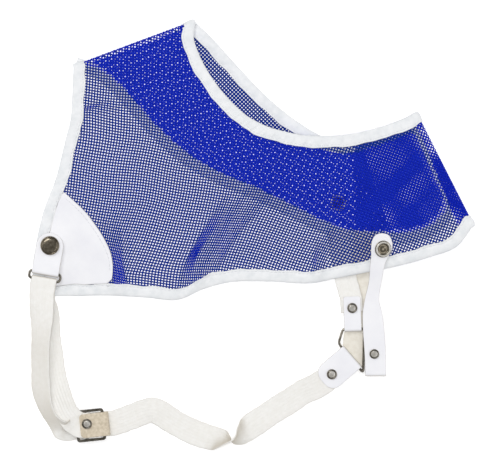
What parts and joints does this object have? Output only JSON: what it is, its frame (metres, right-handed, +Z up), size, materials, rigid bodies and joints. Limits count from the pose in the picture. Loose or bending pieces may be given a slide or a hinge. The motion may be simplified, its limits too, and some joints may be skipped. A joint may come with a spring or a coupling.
{
  "type": "archery chest guard",
  "caption": "Mesh chest guard laid flat: a folded net panel with bound edges, a leather corner and tabs, metal rings and snaps, and an elastic strap with a slide buckle.",
  "frame": {"origin": "middle of the outline's box on the table top", "axes": "+X to the right of the picture, +Y to the top of the picture, +Z up from the table"},
  "size_m": [0.3575, 0.345, 0.0208],
  "materials": {
    "mesh": "open polyester net, deep blue",
    "tape": "white woven binding tape",
    "leather": "white smooth leather",
    "suede": "flesh side of leather, beige",
    "elastic": "ribbed off-white elastic",
    "nickel": "antique nickel plate"
  },
  "bodies": {
    "root": {"front_panel": "mesh", "back_band": "mesh", "band_end_panel": "mesh", "front_armhole_tape": "tape", "front_outer_tape": "tape", "back_armhole_tape": "tape", "back_lower_tape": "tape", "back_end_tape": "tape", "corner_patch": "leather", "snap_tab": "leather", "tab_snap": "nickel", "left_ring": "nickel", "elastic_strap": "elastic", "slide_buckle": "nickel", "slide_tab": "suede", "slide_rivet": "nickel", "side_ring": "nickel", "strap_end_tab": "leather", "strap_end_rivet": "nickel", "side_tab": "leather", "side_tab_rivet": "nickel", "side_elastic": "elastic", "keeper_strip": "suede", "snap_strap": "leather", "snap_strap_rivet": "nickel", "snap_ring": "nickel", "panel_stud": "nickel", "side_snap": "nickel"}
  },
  "joints": []
}
